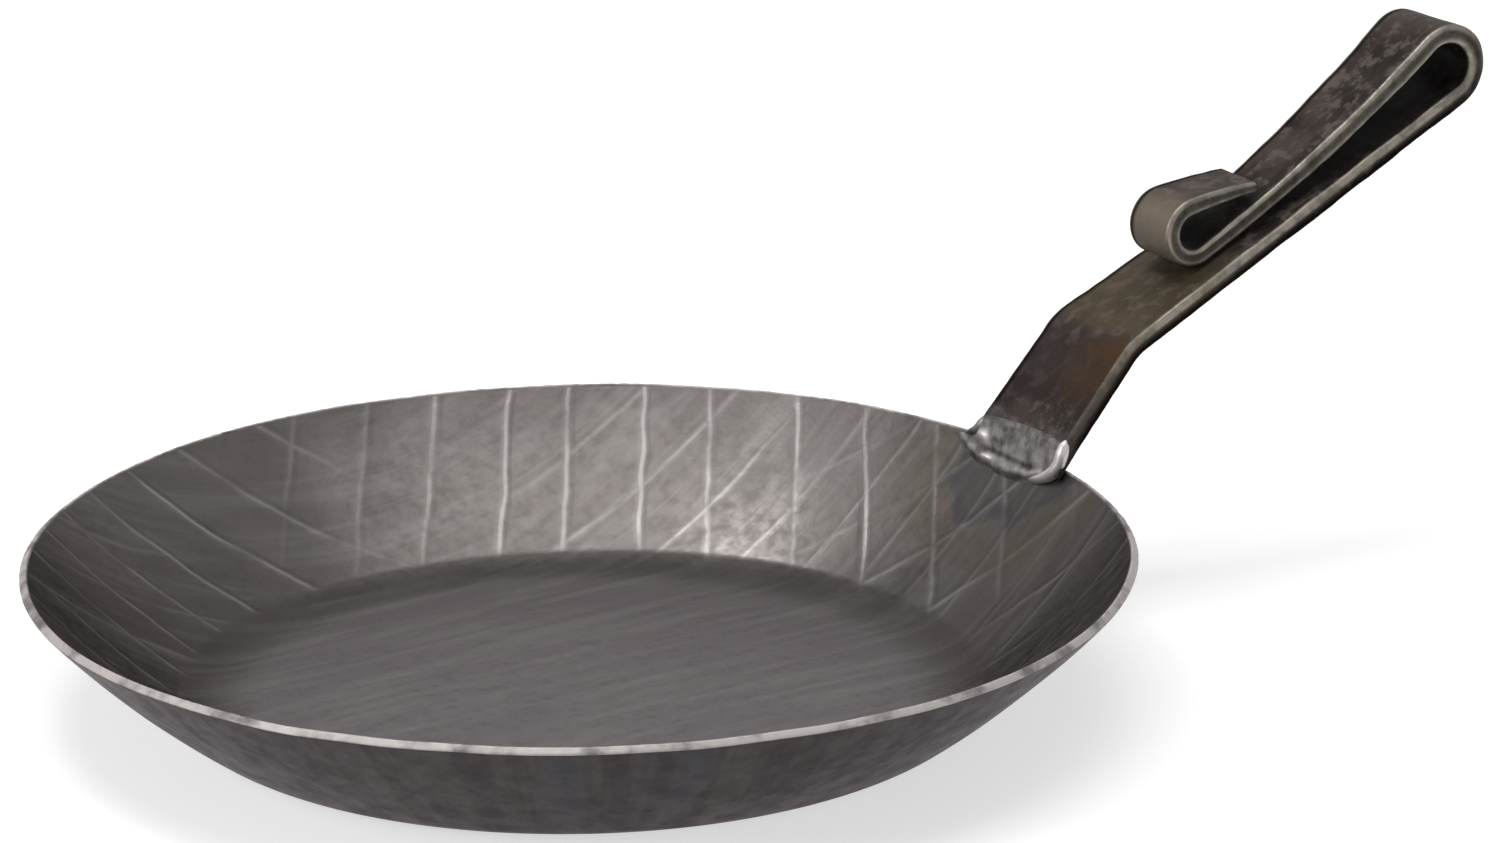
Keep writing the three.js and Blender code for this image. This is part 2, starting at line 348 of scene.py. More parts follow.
def piece(name, points, quads, triangles, marks):
    """Mesh object from points in millimetres, its quads and triangles, and one number per point under
    each mark's name."""
    mesh = bpy.data.meshes.new(name)
    corners = np.concatenate([quads.ravel(), triangles.ravel()]).astype(np.int32)
    sizes = np.concatenate([np.full(len(quads), 4), np.full(len(triangles), 3)]).astype(np.int32)
    mesh.vertices.add(len(points))
    mesh.loops.add(len(corners))
    mesh.polygons.add(len(sizes))
    mesh.vertices.foreach_set("co", (points * MM).astype(np.float32).ravel())
    mesh.loops.foreach_set("vertex_index", corners)
    mesh.polygons.foreach_set("loop_start", (np.cumsum(sizes) - sizes).astype(np.int32))
    mesh.polygons.foreach_set("use_smooth", np.ones(len(sizes), dtype=bool))
    for label, values in marks.items():
        layer = mesh.attributes.new(label, "FLOAT", "POINT")
        layer.data.foreach_set("value", np.asarray(values, dtype=np.float32).ravel())
    mesh.update(calc_edges=True)
    mesh.validate()
    made = bpy.data.objects.new(name, mesh)
    bpy.context.scene.collection.objects.link(made)
    return made


def pan_inside():
    """Floor, corner and scored wall: the inner face of the sheet, turned, then moved square to itself
    by the sheet's wave, the scored relief and a faint unevenness of the floor."""
    rows = inside_section()
    points, radius, inward = turned(rows)
    x, y = points[..., 0], points[..., 1]
    floor_wave = FLOOR_WAVE_HEIGHT * ripples(x, y, FLOOR_WAVE_LENGTH, 11)
    floor_wave = floor_wave * (1 - ramp(radius, *FLOOR_WAVE_STOP))
    move = sheet_wave(x, y, radius) + score_relief(x, y, radius) + floor_wave
    points = (points + inward * move[..., None]).reshape(-1, 3)
    marks = {family: score_phase(family, x, y) for family in SCORE_FAMILIES}
    marks.update({family + "_show": score_show(family, x, y) for family in SCORE_FAMILIES})
    centre = len(points)
    points = np.vstack([points, [0.0, 0.0, SHEET]])
    marks = {name: np.append(values, 0.0) for name, values in marks.items()}
    quads = grid_quads(len(rows), PAN_COLUMNS, True)[:, ::-1]
    return piece("pan_inside", points, quads, fan_triangles(centre, np.arange(PAN_COLUMNS)), marks)


def pan_outside():
    """Underside, outer corner, outer wall and rim: the outer face of the sheet, turned, with the rim's
    section over its top, moved by the same wave as the inner face and nicked along the rim."""
    face = sheet_section(0.0, np.linspace(UNDER_RING, BASE_RADIUS, 8), 10, 16)
    rim = rim_section()
    seam = sheet_section(SHEET, np.zeros(0), 1, 1)[-1:]
    rows = np.vstack([face, rim[:, :3], seam])
    bare = np.concatenate([np.zeros(len(face)), rim[:, 3], [SEAM_BARE]])
    points, radius, inward = turned(rows)
    x, y = points[..., 0], points[..., 1]
    nick = -NICK_DEPTH * np.clip(ripples(x, y, NICK_LENGTH, 21) - 0.9, 0, 1)
    nick = nick - CUT_GRAIN_DEPTH * ripples(x, y, CUT_GRAIN_LENGTH, 22)
    points = points + inward * sheet_wave(x, y, radius)[..., None]
    outward = np.stack([x, y, 0 * x], -1) / radius[..., None]
    up = outward * WALL_UP[0] + np.array([0, 0, WALL_UP[2]])
    points = (points + up * (nick * bare[:, None])[..., None]).reshape(-1, 3)
    centre = len(points)
    points = np.vstack([points, [0.0, 0.0, 0.0]])
    marks = {"bare": np.append(np.repeat(bare, PAN_COLUMNS), 0.0)}
    quads = grid_quads(len(rows), PAN_COLUMNS, True)
    return piece("pan_outside", points, quads, fan_triangles(centre, np.arange(PAN_COLUMNS)[::-1]), marks)


def bar_runs():
    """Where each stretch of the bar ends, by length along it, and how far the bar has turned by then."""
    lengths = np.array([
        TAB_LENGTH,
        NECK_LENGTH,
        NECK_BEND_RADIUS * (RIM_SLOPE - GRIP_ANGLE),
        GRIP_LENGTH,
        LOOP_RADIUS * LOOP_TURN,
        STRAND_LENGTH,
        SCROLL_RADIUS * SCROLL_TURN,
        TIP_LENGTH,
    ])
    bends = np.array([
        0.0,
        0.0,
        -1 / NECK_BEND_RADIUS,
        0.0,
        1 / LOOP_RADIUS,
        -1 / STRAND_BOW_RADIUS,
        -1 / SCROLL_RADIUS,
        -1 / TIP_BOW_RADIUS,
    ])
    return np.cumsum(lengths), np.cumsum(lengths * bends)


def bar_line():
    """The bar's middle line: a heading that changes evenly along each stretch, slightly blurred, whose
    cosine and sine are summed up to x and z."""
    ends, turns = bar_runs()
    run = np.linspace(0, ends[-1], BAR_STATIONS)
    step = run[1]
    heading = RIM_SLOPE + blurred(np.interp(run, [0.0, *ends], [0.0, *turns]), int(2 * BEND_BLUR / step))
    start = RIM_INNER + WALL_IN * (TAB_LIFT + BAR_THICK / 2) - WALL_UP * TAB_LENGTH
    x = start[0] + summed(np.cos(heading), step)
    z = start[2] + summed(np.sin(heading), step)
    return run, ends, heading, x, z


def bar_outline(faces=19, sides=7, arc=7):
    """Once round the bar's section, as (su, sv, cu, cv): su and sv pick the place between the four
    corner centres, from -1 to 1, and (cu, cv) points away from that centre, square to the skin."""
    over = np.sin(np.linspace(-1, 1, faces + 2)[1:-1] * np.pi / 2)
    beside = np.linspace(-1, 1, sides + 2)[1:-1]
    turn = np.linspace(0, np.pi / 2, arc)
    one, zero = np.ones_like, np.zeros_like
    runs = [
        (over, -one(over), zero(over), -one(over)),
        (one(turn), -one(turn), np.sin(turn), -np.cos(turn)),
        (one(beside), beside, one(beside), zero(beside)),
        (one(turn), one(turn), np.cos(turn), np.sin(turn)),
        (-over, one(over), zero(over), one(over)),
        (-one(turn), one(turn), -np.sin(turn), np.cos(turn)),
        (-one(beside), -beside, -one(beside), zero(beside)),
        (-one(turn), -one(turn), -np.cos(turn), -np.sin(turn)),
    ]
    return np.concatenate([np.stack(part, -1) for part in runs]).T


def bar_wear(run, ends, u, level, half_u, cv):
    """How worn, how much painted shade and how pale the bar is at each point, from 0 to 1. The edges wear
    bright, only the upper ones before the loop, where the lower ones keep the dark scale as painted
    shade. Painted shade lies inside the loop and the scroll and under the grip, with a painted dark
    reflection along the far edge. The scroll's outer turn, its belly, is pale."""
    neck, bend, grip, loop, strand, scroll, tip = ends[1:]
    edge = ramp(np.abs(u) - half_u, -1.1, -0.5)
    # On the grip only the upper edges wear bright; the lower edges keep the dark scale as painted shade.
    on_grip = ramp(level, -0.15, 0.4)
    on_strand = 0.25 + 0.75 * ramp(np.abs(level), 0.2, 0.75)
    returned = ramp(run, grip - 6, loop)[:, None]
    amount = np.interp(run, [0, neck - 12, bend + 4, grip, tip], [0.2, 0.3, 0.95, 1.0, 0.9])[:, None]
    worn = edge * amount * (on_grip + (on_strand - on_grip) * returned)

    # Painted shade: inside the loop, on the grip under the strand, under the grip's near edge and inside
    # the scroll's curl, with a painted dark reflection along the far edge.
    inside = ramp(cv, 0.3, 0.9)
    hidden = (ramp(run, grip - 62, grip - 30) * (1 - ramp(run, strand - 22, strand - 8)))[:, None]
    far_edge = ramp(u - half_u, -2.3, -1.5)
    under_grip = ramp(-level, 0.1, 0.5) * ramp(-u - half_u, -0.8, -0.3) * (1 - returned)
    in_curl = ramp(-cv, 0.3, 0.9) * ramp(run, strand - 14, strand - 4)[:, None]
    painted_shade = np.clip(0.75 * inside * hidden + far_edge + under_grip + 0.85 * in_curl, 0, 1)
    turning = ramp(run, strand - 5, strand + 6) * (1 - ramp(run, scroll - 6, scroll + 3))
    return worn, painted_shade, inside * turning[:, None]


def handle_bar():
    """The forged bar: a flat section with rounded edges and slightly hollow sides, carried along the
    middle line. Width, thickness, edge rounding, twist and hammer marks change along the run."""
    run, ends, heading, x, z = bar_line()
    rim, neck, bend, grip, loop, strand, scroll, tip = ends
    widths = [TAB_WIDTH, TAB_WIDTH, BEND_WIDTH, LOOP_WIDTH, SCROLL_WIDTH, TIP_WIDTH]
    width = np.interp(run, [0, rim, bend, grip, strand, tip], widths)
    thicks = [BAR_THICK, BAR_THICK, SCROLL_THICK, SCROLL_THICK, TIP_THICK]
    thick = np.interp(run, [0, grip, strand, scroll, tip], thicks)
    width = width + WIDTH_DRIFT * ripples(run, 0.0, WIDTH_DRIFT_LENGTH, 31)
    thick = thick + THICK_DRIFT * ripples(run, 0.0, THICK_DRIFT_LENGTH, 32)
    end = np.sqrt(np.clip(1 - (1 - np.clip((tip - run) / TIP_ROUND, 0, 1)) ** 2, 0.2, 1))
    half_u = (width / 2 - 0.9 * (1 - end))[:, None]
    half_v = (thick / 2 * end)[:, None]

    su, sv, cu, cv = bar_outline()
    upper = np.interp(run, [0, bend, grip, loop], [0.9, 1.25, 1.15, 0.8])[:, None]
    lower = np.interp(run, [0, grip, loop], [0.8, 0.8, 0.75])[:, None]
    round_ = np.minimum(lower + (upper - lower) * (sv + 1) / 2, 0.8 * half_v)
    hollow = np.interp(run, [0, grip, loop, scroll, tip], [0.05, 0.08, 0.22, 0.2, 0.05])[:, None]
    side = np.abs(cu) > 0.999
    u = su * (half_u - round_) + round_ * cu - np.where(side, su * hollow * (1 - sv**2), 0)
    v = sv * (half_v - round_) + round_ * cv
    hammer = HAMMER_HEIGHT * ripples(run[:, None], u, HAMMER_LENGTH, 33)
    hammer = hammer + PEEN_HEIGHT * ripples(run[:, None], u + 9 * sv, PEEN_LENGTH, 34)
    hammer = hammer * ramp(run, rim + 3, neck)[:, None]
    rounded = np.abs(cu * cv) > 0.01
    dents = DENT_HEIGHT * ripples(run[:, None], 3 * sv + 5 * su, DENT_LENGTH, 35) * rounded
    u = u + cu * (hammer * 0.3 + dents)
    v = v + cv * (hammer + dents) * end[:, None]
    grind = GRIND_SLOPE * np.clip(crease_line(u) - (run[:, None] - TAB_LENGTH), 0, None)
    v = v - grind * (v + half_v) / (2 * half_v)

    twist = np.interp(run, [grip - 10, loop, strand - 30, scroll], [0, LOOP_TWIST, LOOP_TWIST, 0])[:, None]
    y = u * np.cos(twist) - v * np.sin(twist)
    lift = u * np.sin(twist) + v * np.cos(twist)
    points = np.stack([
        x[:, None] - np.sin(heading)[:, None] * lift,
        y,
        z[:, None] + np.cos(heading)[:, None] * lift,
    ], -1).reshape(-1, 3)

    worn, painted_shade, belly = bar_wear(run, ends, u, np.clip(v / half_v, -1, 1), half_u, cv)
    count = len(su)
    points = np.vstack([points, points[:count].mean(0), points[-count:].mean(0)])
    marks = {
        "worn": np.append(worn.ravel(), [0.0, 0.6]),
        "painted_shade": np.append(painted_shade.ravel(), [0.0, 0.0]),
        "belly": np.append(belly.ravel(), [0.0, 0.0]),
        "run": np.append(np.repeat(run, count), [0.0, run[-1]]),
    }
    quads = grid_quads(len(run), count, True)
    return piece("handle_bar_forged", points, quads, end_caps(len(run), count), marks)


def at_rim(across, up, lift):
    """Points beside the rim under the handle: across along Y, up along the wall's slope at the rim,
    and lift square to that slope, inwards."""
    across, up, lift = np.broadcast_arrays(across, up, lift)
    beside = np.array([0.0, 1.0, 0.0]) * across[..., None]
    return RIM_INNER + WALL_UP * up[..., None] + WALL_IN * lift[..., None] + beside


def wall_lift(across, up):
    """How far the hollow inner wall stands in from the flat slope at the rim's middle."""
    radius = RIM_INNER[0] + WALL_UP[0] * up
    hollow = radius - np.sqrt(radius**2 - across**2)
    return hollow * math.sin(RIM_SLOPE) + up**2 / (2 * (BOW_RADIUS - SHEET))


def crease_line(across):
    """How far up from the rim the bar is ground off, across it."""
    places = [-15.3, -12.7, -7.8, -1.0, 6.1, 11.0, 15.3]
    return np.interp(across, places, [3.6, 3.9, 4.3, 4.3, 3.7, 3.3, 2.6])


def ground_lift(across, up):
    """Height of the bar's upper face over the slope at the rim: flat, and ground off at GRIND_SLOPE
    below the crease."""
    return TAB_LIFT + BAR_THICK - GRIND_SLOPE * np.clip(crease_line(across) - up, 0, None)


def blob(across, up, centre, size):
    """A round hump of unit height: a bell over (across, up) about its centre."""
    return np.exp(-(((across - centre[0]) / size[0]) ** 2 + ((up - centre[1]) / size[1]) ** 2))


def weld_toe():
    """The run across the end of the tab: a sheet of weld that rises from its toe on the wall in a small
    smooth step, then follows the ground end of the bar up to the crease. Past the bar's far edge it
    thins out on the wall. A lip follows the toe, a groove lies above it, and two blobs of weld stand
    at the far side."""
    across = np.linspace(WELD_NEAR, WELD_FAR, 261)
    toe_places = [WELD_NEAR, -13.1, -9.3, -3.1, 4.0, 9.2, 13.0, 16.8, 20.4, 23.5]
    toe_depths = [-2.2, -3.7, -5.7, -7.1, -7.7, -7.5, -7.1, -6.4, -5.0, -3.3]
    toe = blurred(np.interp(across, toe_places, toe_depths), 25)
    rim = WALL_UP[0] * (np.sqrt(RIM_INNER[0] ** 2 - across**2) - RIM_INNER[0])
    top = crease_line(across)
    top = top + (rim - 0.4 - 0.18 * np.clip(across - 17.0, 0, None) - top) * ramp(across, 14.0, 16.5)
    far = ramp(across, 14.0, 20.0)

    def cover(up):
        """Height of the weld over the wall, up the slope."""
        face = ground_lift(across, up) + WELD_COVER * ramp(top - up, 0.0, 1.5) - 0.03
        return (face - wall_lift(across, up)) * (1 - far) + WELD_COVER * far

    up = toe - TOE_SINK + (top - toe + 0.4) * np.linspace(0, 1, 120)[:, None]
    from_toe = up - toe
    rise = ramp(from_toe, 0.0, TOE_STEP)
    lift = wall_lift(across, up) + cover(up) - cover(toe) * (1 - rise)
    lift = lift - TOE_SINK * ramp(-from_toe, 0.0, TOE_SINK)

    body = rise * ramp(top - up, 0.3, 2.0)
    lip = np.exp(-(((from_toe - LIP_FROM_TOE) / LIP_WIDTH) ** 2))
    groove = np.exp(-(((up - GROOVE_UP) / GROOVE_WIDTH) ** 2))
    groove = groove * ramp(across, -8.0, -4.0) * (1 - ramp(across, 11.0, 14.0))
    edge_blob = blob(across, up, EDGE_BLOB, EDGE_BLOB_SIZE)
    leaning = up - TOE_BLOB_LEAN * (TOE_BLOB[0] - across)
    toe_blob = blob(across, leaning, TOE_BLOB, TOE_BLOB_SIZE)
    uneven = ripples(across[None, :], up, 3.4, 51, 15)
    lip = lip * np.clip(0.7 + 0.5 * ripples(across, 0.0, 7.0, 52), 0.2, 1.2)
    lift = lift + body * (0.22 * lip - 0.25 * groove + 0.5 * edge_blob + 0.45 * toe_blob + 0.03 * uneven)
    # Lighter weld metal with painted highlight on the lip and the blobs and painted shade in the groove,
    # dimmer at the toe and at the crease.
    bright = 0.18 + 0.2 * lip - 0.2 * groove + 0.6 * edge_blob + 0.6 * toe_blob + 0.04 * uneven
    bright = np.clip(bright, 0, 1) * (0.3 + 0.7 * body)
    points = at_rim(across, up, lift).reshape(-1, 3)
    quads = grid_quads(len(up), len(across), False)
    return piece("weld_toe_bead", points, quads, NO_TRIANGLES, {"bright": bright})


def bead(name, places, girth, bright, seed):
    """A run of weld as a tube: places (across, up, lift), girths and brightness blurred along the run,
    and a round, slightly uneven section in the plane square to it."""
    knots = np.linspace(0, 1, len(places))
    along = np.linspace(0, 1, BEAD_STATIONS)
    path = np.stack([blurred(np.interp(along, knots, column), 31) for column in np.array(places).T], -1)
    girths = blurred(np.interp(along, knots, girth), 21)
    shown = np.repeat(blurred(np.interp(along, knots, bright), 21), BEAD_SIDES)
    line = at_rim(path[:, 0], path[:, 1], path[:, 2])
    ahead = np.gradient(line, axis=0)
    ahead = ahead / np.linalg.norm(ahead, axis=1, keepdims=True)
    aside = np.cross(ahead, WALL_IN)
    aside = aside / np.linalg.norm(aside, axis=1, keepdims=True)
    above = np.cross(aside, ahead)
    turn = np.linspace(0, 2 * np.pi, BEAD_SIDES, endpoint=False)
    size = girths[:, None] * (1 + 0.04 * ripples(12 * along[:, None], 2 * np.cos(turn), 5.0, seed))
    out = (size * np.cos(turn))[..., None]
    over = (size * np.sin(turn))[..., None]
    points = (line[:, None] + aside[:, None] * out + above[:, None] * over).reshape(-1, 3)
    points = np.vstack([points, line[0], line[-1]])
    marks = {"bright": np.append(shown, [shown[0], shown[-1]])}
    quads = grid_quads(BEAD_STATIONS, BEAD_SIDES, True)
    return piece(name, points, quads, end_caps(BEAD_STATIONS, BEAD_SIDES), marks)


def weld_left():
    """The run at the bar's far edge: a wide start on the rim that narrows in a hollow curve up the bar."""
    places = [(21.5, -2.3, 1.5), (18.6, -1.0, 1.8), (16.8, 0.4, 2.4), (15.7, 2.2, 3.0), (15.1, 4.6, 3.6)]
    return bead("weld_left_bead", places, [0.3, 0.95, 1.35, 1.1, 0.3], [0.2, 0.2, 0.25, 0.3, 0.2], 61)


def weld_right():
    """The run at the bar's near edge: out of the toe, round the tab's corner and up along the edge."""
    places = [
        (-4.4, -5.7, -0.2),
        (-7.6, -5.1, 0.5),
        (-11.0, -4.1, 1.2),
        (-13.3, -2.4, 2.0),
        (-14.2, -0.2, 3.1),
        (-14.4, 1.6, 4.0),
        (-14.3, 3.4, 4.7),
        (-14.2, 5.0, 4.9),
    ]
    girths = [0.8, 1.15, 1.4, 1.5, 1.5, 1.4, 1.2, 0.1]
    # The bead's brightness along its run is painted highlight over the weld metal's own tone.
    return bead("weld_right_bead", places, girths, [0.3, 0.7, 1.0, 1.0, 1.0, 1.0, 1.0, 0.8], 62)


# Finishes

# Where the inner finish turns from floor to wall, in metres from the pan's axis
WALL_FOOT = (0.0845, 0.0885)
FLOOR_EDGE = (0.068, 0.0865)
# How far the shade lies beside a scored line, in millimetres
SHADE_OFFSET = 1.1


def knot(tree, kind, inputs, **settings):
    """Adds a node, sets it up, and fills its inputs with values or links."""
    made = tree.nodes.new(kind)
    for name, value in settings.items():
        setattr(made, name, value)
    for name, value in inputs.items():
        if isinstance(value, bpy.types.NodeSocket):
            tree.links.new(value, made.inputs[name])
        else:
            made.inputs[name].default_value = value
    return made


def sums(tree, operation, first, second=0.0, clamp=False):
    """One sum of two numbers, by the operation's name."""
    settings = {"operation": operation, "use_clamp": clamp}
    return knot(tree, "ShaderNodeMath", {0: first, 1: second}, **settings).outputs[0]


def times(tree, first, second, clamp=False):
    """The product of two numbers."""
    return sums(tree, "MULTIPLY", first, second, clamp)


def span(tree, value, low, high, to_low=0.0, to_high=1.0):
    """Smooth step of a value from low..high to to_low..to_high."""
    inputs = {"Value": value, "From Min": low, "From Max": high, "To Min": to_low, "To Max": to_high}
    return knot(tree, "ShaderNodeMapRange", inputs, interpolation_type="SMOOTHSTEP").outputs[0]


def belt(tree, value, start, stop):
    """1 from the end of start to the beginning of stop, and 0 outside them."""
    return times(tree, span(tree, value, *start), span(tree, value, *stop, 1.0, 0.0))


def tint(tree, amount, under, over):
    """Lays one colour over another by an amount."""
    inputs = {0: amount, 6: under, 7: over}
    return knot(tree, "ShaderNodeMix", inputs, data_type="RGBA").outputs[2]


def grain(tree, place, scale, detail=3.0, roughness=0.55, lump=0.0):
    """Cloudy noise about a half, scale times over in each unit of place."""
    inputs = {
        "Vector": place,
        "Scale": scale,
        "Detail": detail,
        "Roughness": roughness,
        "Distortion": lump,
    }
    return knot(tree, "ShaderNodeTexNoise", inputs).outputs[0]


def bumps(tree, strength, distance, height):
    """The surface's normal, bent by a height that is worth a distance in metres."""
    inputs = {"Strength": strength, "Distance": distance, "Height": height}
    return knot(tree, "ShaderNodeBump", inputs).outputs[0]


def stretched(tree, place, scale):
    """Coordinates scaled differently along X, Y and Z."""
    return knot(tree, "ShaderNodeMapping", {"Vector": place, "Scale": scale}).outputs[0]


def mark(tree, name):
    """A number that the mesh holds at each point."""
    return knot(tree, "ShaderNodeAttribute", {}, attribute_name=name).outputs["Fac"]


def grey(value, warm=0.0):
    """A grey with more red and a little less blue."""
    return (value * (1 + warm), value, value * (1 - 0.4 * warm), 1.0)


def finish(name):
    """A new material with its shader, and the object coordinates that its patterns read."""
    material = bpy.data.materials.new(name)
    material.use_nodes = True
    tree = material.node_tree
    shader = tree.nodes["Principled BSDF"]
    place = knot(tree, "ShaderNodeTexCoord", {}).outputs["Object"]
    return material, tree, shader, place


def lay(tree, shader, colour, rough, normal):
    """Links a finish's colour, roughness and normal to its shader."""
    tree.links.new(colour, shader.inputs["Base Color"])
    tree.links.new(rough, shader.inputs["Roughness"])
    tree.links.new(normal, shader.inputs["Normal"])


def weld_nearness(tree, place):
    """Distance in metres from the middle of the weld."""
    inputs = {0: place, 1: tuple(RIM_INNER * MM)}
    return knot(tree, "ShaderNodeVectorMath", inputs, operation="DISTANCE").outputs["Value"]


def scored_lines(tree, place):
    """How light the scored lines are, partly their own tone and partly painted highlight, and how dark the
    painted shade beside each. The lines lie at the whole numbers that a family's mark counts. Each
    wanders, breaks along its length and has its own strength."""
    lines, shades = 0.0, 0.0
    for seed, family in enumerate(SCORE_FAMILIES):
        wander = span(tree, grain(tree, place, 48.0, 2.0), 0.3, 0.7, -0.03, 0.03)
        phase = sums(tree, "ADD", mark(tree, family), wander)
        near = sums(tree, "ROUND", phase)
        off = times(tree, sums(tree, "SUBTRACT", phase, near), SCORE_PITCH)
        beside = sums(tree, "ABSOLUTE", sums(tree, "SUBTRACT", off, SHADE_OFFSET))
        off = sums(tree, "ABSOLUTE", off)
        number = sums(tree, "ADD", near, 17.0 * seed)
        own = knot(tree, "ShaderNodeTexWhiteNoise", {"W": number}, noise_dimensions="1D").outputs["Value"]
        breaks = span(tree, grain(tree, place, 30.0 + 5 * seed, 3.0), 0.36, 0.58, 0.3, 1.0)
        strength = times(tree, breaks, span(tree, own, 0.0, 1.0, 0.5, 1.0))
        strength = times(tree, strength, mark(tree, family + "_show"))
        core = span(tree, off, 0.15, 0.7, 0.75, 0.0)
        halo = span(tree, off, 0.3, 1.8, 0.25, 0.0)
        line = times(tree, sums(tree, "ADD", core, halo), strength)
        shade = times(tree, span(tree, beside, 0.15, 0.9, 1.0, 0.0), strength)
        lines = sums(tree, "MAXIMUM", line, lines)
        shades = sums(tree, "MAXIMUM", shade, shades)
    return lines, shades


def scored_iron():
    """Inner face: satin dark iron, mottled, streaked along the way the sheet was rolled, with light
    scored lines on the wall, partly painted highlight, a painted shade beside each, and a heat tint
    round the weld. The floor is duller than the wall."""
    material, tree, shader, place = finish("scored_iron")
    split = knot(tree, "ShaderNodeSeparateXYZ", {"Vector": place})
    flat = knot(tree, "ShaderNodeCombineXYZ", {"X": split.outputs["X"], "Y": split.outputs["Y"]}).outputs[0]
    radius = knot(tree, "ShaderNodeVectorMath", {0: flat}, operation="LENGTH").outputs["Value"]
    wall = span(tree, radius, *WALL_FOOT)

    patches = grain(tree, place, 34.0, 5.0, 0.62)
    spots = grain(tree, place, 300.0, 4.0, 0.65)
    streaks = grain(tree, stretched(tree, place, (18.0, 220.0, 20.0)), 1.0, 4.0, 0.6, 0.5)
    fine = grain(tree, place, 1400.0, 2.0, 0.6)

    lines, shades = scored_lines(tree, place)
    lines = times(tree, lines, wall)
    shades = times(tree, shades, wall)

    colour = tint(tree, span(tree, patches, 0.35, 0.65), grey(0.1, 0.1), grey(0.116, 0.11))
    colour = tint(tree, span(tree, radius, *FLOOR_EDGE, 0.8, 0.0), colour, (0.122, 0.107, 0.111, 1.0))
    colour = tint(tree, span(tree, spots, 0.45, 0.75, 0.0, 0.35), colour, grey(0.075, 0.09))
    colour = tint(tree, span(tree, streaks, 0.42, 0.66, 0.0, 0.5), colour, grey(0.16, 0.07))
    # Painted shade beside each scored line, then the light lines, partly painted highlight.
    colour = tint(tree, times(tree, shades, 0.6), colour, grey(0.055, 0.08))
    colour = tint(tree, times(tree, lines, 0.9), colour, grey(0.3, 0.06))

    stray = span(tree, grain(tree, place, 90.0, 2.0), 0.3, 0.7, -0.004, 0.004)
    away = sums(tree, "ADD", weld_nearness(tree, place), stray)
    scorched = span(tree, away, 0.022, 0.013)
    blue = belt(tree, away, (0.014, 0.017), (0.018, 0.022))
    brown = belt(tree, away, (0.019, 0.025), (0.028, 0.038))
    colour = tint(tree, times(tree, scorched, 0.3), colour, grey(0.04, 0.05))
    colour = tint(tree, times(tree, blue, 0.4), colour, (0.06, 0.06, 0.075, 1.0))
    colour = tint(tree, times(tree, brown, 0.35), colour, (0.12, 0.095, 0.07, 1.0))

    rough = sums(tree, "ADD", span(tree, spots, 0.3, 0.7, 0.3, 0.42), times(tree, lines, -0.05))
    height = sums(tree, "ADD", times(tree, spots, 0.6), times(tree, fine, 0.25))
    height = sums(tree, "ADD", height, times(tree, lines, 0.5))
    normal = bumps(tree, 0.35, 0.0002, height)
    lay(tree, shader, colour, rough, normal)
    tree.links.new(span(tree, radius, *FLOOR_EDGE, 0.25, 0.85), shader.inputs["Metallic"])
    shader.inputs["Specular Tint"].default_value = grey(0.15)
    shader.inputs["Specular IOR Level"].default_value = 0.15
    return material


def outer_iron():
    """Outer face: darker warm iron with upright draw marks and bluish upright bands, and a rim worn
    bright, less so in places."""
    material, tree, shader, place = finish("outer_iron")
    split = knot(tree, "ShaderNodeSeparateXYZ", {"Vector": place})
    angle = sums(tree, "ARCTAN2", split.outputs["Y"], split.outputs["X"])
    draw = knot(tree, "ShaderNodeCombineXYZ", {
        "X": sums(tree, "COSINE", angle),
        "Y": sums(tree, "SINE", angle),
        "Z": times(tree, split.outputs["Z"], 0.8),
    }).outputs[0]
    draws = grain(tree, draw, 20.0, 4.0, 0.6)
    bands = grain(tree, draw, 8.0, 2.0)
    patches = grain(tree, place, 30.0, 3.0)
    spots = grain(tree, place, 180.0, 3.0, 0.6)
    fine = grain(tree, place, 1500.0, 2.0)
    chip = span(tree, grain(tree, place, 75.0, 4.0, 0.65), 0.34, 0.56, 0.35, 1.0)
    worn = times(tree, span(tree, mark(tree, "bare"), 0.25, 0.8), chip)

    brown, violet = (0.031, 0.026, 0.026, 1.0), (0.026, 0.0235, 0.025, 1.0)
    colour = tint(tree, span(tree, patches, 0.4, 0.65), brown, violet)
    colour = tint(tree, span(tree, draws, 0.44, 0.62, 0.0, 0.8), colour, (0.054, 0.048, 0.047, 1.0))
    colour = tint(tree, span(tree, bands, 0.54, 0.64, 0.0, 0.7), colour, (0.033, 0.037, 0.044, 1.0))
    colour = tint(tree, span(tree, spots, 0.5, 0.75, 0.0, 0.15), colour, grey(0.018, 0.05))
    colour = tint(tree, worn, colour, grey(0.44, 0.07))
    rough = sums(tree, "ADD", span(tree, spots, 0.3, 0.7, 0.42, 0.54), times(tree, worn, 0.18))
    height = sums(tree, "ADD", times(tree, spots, 0.5), times(tree, fine, 0.25))
    normal = bumps(tree, 0.35, 0.0002, height)
    lay(tree, shader, colour, rough, normal)
    shader.inputs["Metallic"].default_value = 0.85
    shader.inputs["Specular Tint"].default_value = (0.93, 0.87, 0.88, 1.0)
    return material


